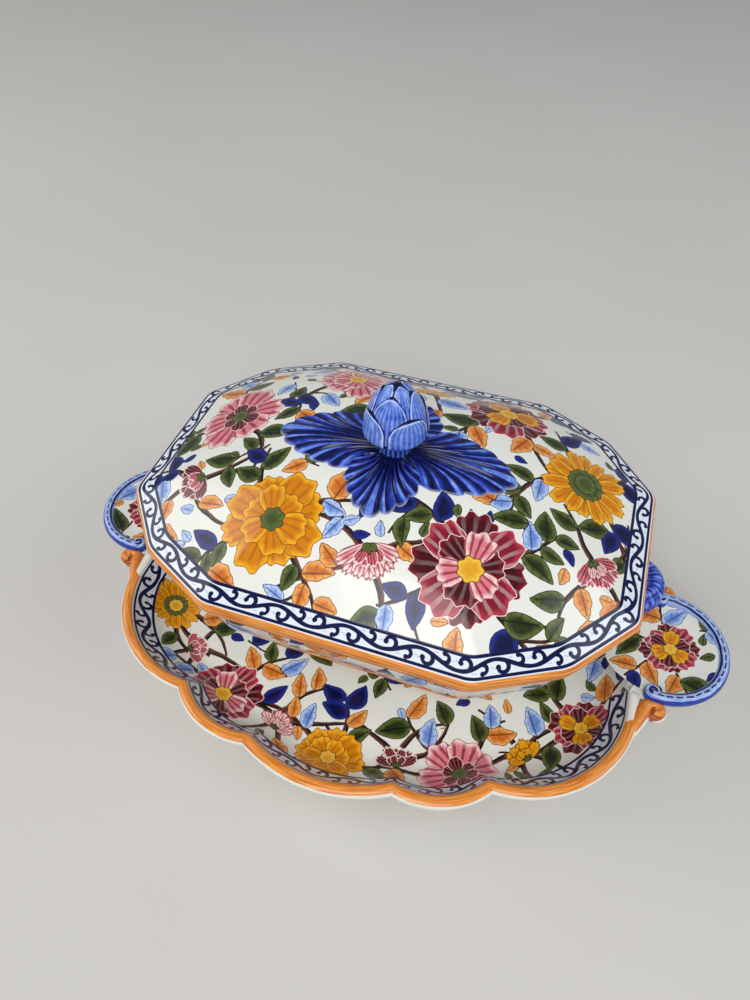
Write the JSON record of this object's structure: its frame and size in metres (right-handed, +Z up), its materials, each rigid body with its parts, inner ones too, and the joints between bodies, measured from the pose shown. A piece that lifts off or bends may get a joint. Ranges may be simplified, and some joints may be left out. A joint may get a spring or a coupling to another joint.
{
  "type": "covered soup tureen on a stand",
  "caption": "Painted earthenware soup tureen: a faceted domed lid with a bud finial on leaves, a faceted bowl with loop handles, and a scalloped oval stand dish with end lugs.",
  "frame": {"origin": "on the table, at the middle of the stand's foot ring", "axes": "+Z up, +X along the stand towards its right ear, +Y away from the viewer"},
  "size_m": [0.47, 0.328, 0.219],
  "materials": {
    "painted_glaze": "glossy white glaze with painted flowers, scroll borders and orange edges",
    "white_glaze": "glossy plain white glaze",
    "cobalt_glaze": "glossy cobalt blue glaze, pale on ribs and dark in grooves"
  },
  "bodies": {
    "stand": {"stand_dish": "painted_glaze", "stand_foot": "white_glaze", "ear_left": "painted_glaze", "ear_right": "painted_glaze"},
    "bowl": {"bowl_shell": "painted_glaze", "bowl_foot": "painted_glaze", "handle_left": "cobalt_glaze", "handle_right": "cobalt_glaze"},
    "lid": {"lid_shell": "painted_glaze", "leaf_left": "cobalt_glaze", "leaf_right": "cobalt_glaze", "leaf_front": "cobalt_glaze", "leaf_back": "cobalt_glaze", "finial_collar": "cobalt_glaze", "finial_bud": "cobalt_glaze"}
  },
  "joints": [
    {"name": "bowl_lift", "type": "slide", "parent": "stand", "child": "bowl", "axis": [0, 0, 1], "range_m": [0, 0.12]},
    {"name": "lid_lift", "type": "slide", "parent": "bowl", "child": "lid", "axis": [0, 0, 1], "range_m": [0, 0.15]}
  ]
}
